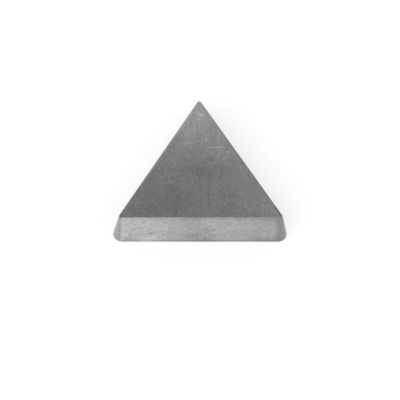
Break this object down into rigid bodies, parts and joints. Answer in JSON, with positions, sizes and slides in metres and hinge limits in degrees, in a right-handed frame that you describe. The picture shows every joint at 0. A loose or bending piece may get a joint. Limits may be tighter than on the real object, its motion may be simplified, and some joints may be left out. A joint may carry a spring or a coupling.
{
  "type": "carbide insert",
  "caption": "Triangular positive turning insert without a hole, ground all over, lying on its rake face with the smaller seating face up.",
  "frame": {"origin": "centre of the rake face, the larger triangle, on the plane that the insert lies on", "axes": "+Z from the rake face to the smaller seating face, one flank faces -Y, the opposite nose points along +Y"},
  "size_m": [0.0154, 0.0135, 0.0032],
  "materials": {
    "ground_carbide": "sintered tungsten carbide, ground matt grey with fine parallel grinding lines"
  },
  "bodies": {
    "root": {"insert": "ground_carbide"}
  },
  "joints": []
}
